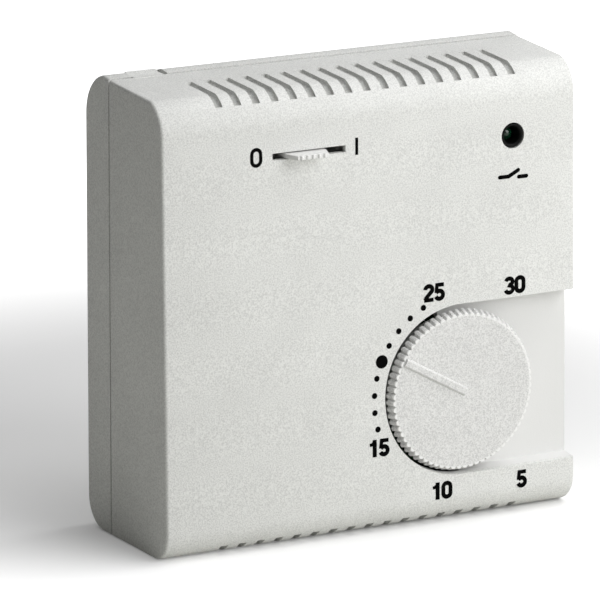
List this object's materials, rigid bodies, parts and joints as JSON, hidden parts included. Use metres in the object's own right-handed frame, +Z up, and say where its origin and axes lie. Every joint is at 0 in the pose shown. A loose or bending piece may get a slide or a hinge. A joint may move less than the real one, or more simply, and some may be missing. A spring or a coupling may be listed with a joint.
{
  "type": "wall thermostat",
  "caption": "Square wall thermostat: rear base, clip-on cover with vent slots, recessed toothed dial, on-off slider and lamp, with a relay circuit board inside.",
  "frame": {"origin": "centre of the face that lies on the wall", "axes": "+Y into the wall, front facing -Y, +X to the right as seen from the front, +Z up"},
  "size_m": [0.084, 0.0327, 0.0839],
  "materials": {
    "case_plastic": "fine-grained off-white moulding",
    "dial_plastic": "fine-grained off-white moulding",
    "slider_plastic": "smooth white moulding",
    "print_ink": "pad-printed black ink",
    "print_white": "white screen print on the circuit board",
    "solder": "tinned pads and solder",
    "board_track": "copper tracks under green mask",
    "band_brown": "brown colour bands",
    "band_red": "red colour bands",
    "band_gold": "gold colour bands",
    "board_laminate": "green solder mask",
    "steel": "plated steel",
    "plated_brass": "plated brass",
    "aluminium_shaft": "turned aluminium",
    "terminal_plastic": "green polyamide",
    "relay_plastic": "blue case",
    "film_capacitor": "yellow case",
    "can_sleeve": "dark printed sleeve",
    "resistor_lacquer": "beige lacquer",
    "fuse_lacquer": "grey-green lacquer",
    "black_resin": "moulded black resin",
    "holder_plastic": "deep black plastic of the lamp holder",
    "varistor_lacquer": "blue lacquer",
    "trimmer_plastic": "blue plastic",
    "sensor_lacquer": "dark lacquer bead",
    "lamp_lens": "dark green lamp, unlit",
    "lever_plastic": "dark plastic"
  },
  "bodies": {
    "base": {"rear_base": "case_plastic", "circuit_board": "board_laminate", "board_screws": "steel", "terminal_block": "terminal_plastic", "terminal_cages": "plated_brass", "terminal_screws": "steel", "relay_case": "relay_plastic", "relay_pin_plate": "black_resin", "suppression_capacitor": "film_capacitor", "smoothing_capacitors": "can_sleeve", "resistors": "resistor_lacquer", "diodes": "black_resin", "control_chip": "black_resin", "chip_pins": "steel", "varistor": "varistor_lacquer", "calibration_trimmer": "trimmer_plastic", "fuse_resistor": "fuse_lacquer", "drive_transistor": "black_resin", "temperature_sensor": "sensor_lacquer", "potentiometer_body": "steel", "potentiometer_bush": "plated_brass", "potentiometer_track": "black_resin", "potentiometer_pins": "steel", "indicator_led": "lamp_lens", "led_spacer": "holder_plastic", "switch_frame": "steel", "switch_pins": "steel"},
    "cover": {"front_cover": "case_plastic"},
    "dial": {"dial_knob": "dial_plastic", "knob_retaining_ring": "steel"},
    "slider": {"switch_slider": "slider_plastic"},
    "shaft": {"potentiometer_shaft": "aluminium_shaft", "potentiometer_wiper": "plated_brass"},
    "lever": {"switch_lever": "lever_plastic", "switch_contact": "plated_brass"}
  },
  "joints": [
    {"name": "cover_pull", "type": "slide", "parent": "base", "child": "cover", "axis": [0, -1, 0], "range_m": [0, 0.045]},
    {"name": "dial_turn", "type": "hinge", "parent": "cover", "child": "dial", "pos_m": [0.0181, -0.0265, -0.0177], "axis": [0, -1, 0], "range_deg": [-96, 155]},
    {"name": "slider_travel", "type": "slide", "parent": "cover", "child": "slider", "axis": [1, 0, 0], "range_m": [-0.0024, 0.004]},
    {"name": "shaft_turn", "type": "hinge", "parent": "base", "child": "shaft", "pos_m": [0.0181, -0.0185, -0.0177], "axis": [0, -1, 0], "range_deg": [-96, 155]},
    {"name": "lever_travel", "type": "slide", "parent": "base", "child": "lever", "axis": [1, 0, 0], "range_m": [-0.0024, 0.004]}
  ],
  "couplings": [
    {"joint": "shaft_turn", "follows": "dial_turn", "ratio": 1},
    {"joint": "lever_travel", "follows": "slider_travel", "ratio": 1}
  ]
}
